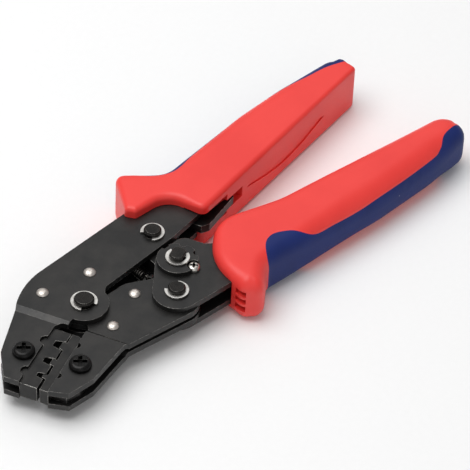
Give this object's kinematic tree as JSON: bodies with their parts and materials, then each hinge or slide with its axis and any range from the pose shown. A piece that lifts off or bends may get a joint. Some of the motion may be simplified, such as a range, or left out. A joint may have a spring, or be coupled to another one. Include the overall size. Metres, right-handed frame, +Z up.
{
  "type": "ratchet crimping tool",
  "caption": "Hand ratchet crimping tool with a compound toggle, a nest die and a mating tongue die, an adjusting wheel and two-material grips.",
  "frame": {"origin": "under the centre of the tool's box, on the surface it lies on", "axes": "+X from the jaw tip back towards the grips' ends, +Y towards the fixed jaw, +Z up out of the flat side with the retaining clips"},
  "size_m": [0.1842, 0.1069, 0.0189],
  "materials": {
    "red_grip": "satin",
    "blue_inlay": "matt",
    "black_oxide_plate": "satin",
    "die_steel": "satin",
    "hardened_pin": "satin",
    "bright_clip": "satin",
    "nickel_rivet": "polished",
    "black_screw": "satin",
    "zinc_screw": "polished",
    "spring_steel": "polished",
    "spacer_steel": "satin"
  },
  "bodies": {
    "fixed_frame": {"fixed_plate_front": "black_oxide_plate", "fixed_plate_back": "black_oxide_plate", "frame_spacer": "spacer_steel", "frame_rivet_front": "nickel_rivet", "frame_rivet_rear": "nickel_rivet", "upper_die": "die_steel", "upper_die_screw": "black_screw", "main_pivot_pin": "hardened_pin", "main_pivot_clip": "bright_clip", "link_pivot_pin": "hardened_pin", "link_pivot_clip": "bright_clip", "frame_tang_pins": "hardened_pin", "frame_tang_bushes": "spacer_steel", "pawl_pin": "hardened_pin", "pawl_spring": "spring_steel", "return_spring": "spring_steel", "fixed_grip": "red_grip", "fixed_grip_inlay": "blue_inlay"},
    "lower_jaw": {"jaw_plate_front": "black_oxide_plate", "jaw_plate_back": "black_oxide_plate", "jaw_spacer": "spacer_steel", "jaw_rivet_front": "nickel_rivet", "jaw_rivet_rear": "nickel_rivet", "lower_die": "die_steel", "lower_die_screw": "black_screw", "handle_pivot_pin": "hardened_pin", "handle_pivot_clip": "bright_clip"},
    "toggle_link": {"toggle_link": "die_steel"},
    "moving_handle": {"handle_plate_front": "black_oxide_plate", "handle_plate_back": "black_oxide_plate", "handle_tang_pins": "hardened_pin", "handle_tang_bushes": "spacer_steel", "eccentric_pin": "hardened_pin", "eccentric_clip": "bright_clip", "adjusting_wheel": "black_oxide_plate", "wheel_lock_screw": "zinc_screw", "moving_grip": "red_grip", "moving_grip_inlay": "blue_inlay"},
    "pawl": {"pawl": "die_steel"}
  },
  "joints": [
    {"name": "jaw_pivot", "type": "hinge", "parent": "fixed_frame", "child": "lower_jaw", "pos_m": [-0.05219, 0.03265, 0.0093], "axis": [0, 0, 1], "range_deg": [-1.4, 8.6], "deforming": ["return_spring"]},
    {"name": "handle_pivot", "type": "hinge", "parent": "lower_jaw", "child": "moving_handle", "pos_m": [-0.03474, 0.00715, 0.0093], "axis": [0, 0, 1], "range_deg": [-34, 5]},
    {"name": "link_pivot", "type": "hinge", "parent": "fixed_frame", "child": "toggle_link", "pos_m": [-0.01321, 0.02535, 0.0093], "axis": [0, 0, 1], "range_deg": [-3, 19.8]},
    {"name": "pawl_pivot", "type": "hinge", "parent": "fixed_frame", "child": "pawl", "pos_m": [0.00042, 0.03035, 0.0093], "axis": [0, 0, 1], "range_deg": [0, 12], "stiffness_Nm_per_rad": 0.05, "springref_deg": -5.73, "deforming": ["pawl_spring"]}
  ],
  "couplings": [
    {"joint": "jaw_pivot", "follows": "handle_pivot", "ratio": -0.25},
    {"joint": "link_pivot", "follows": "handle_pivot", "ratio": -0.58}
  ]
}
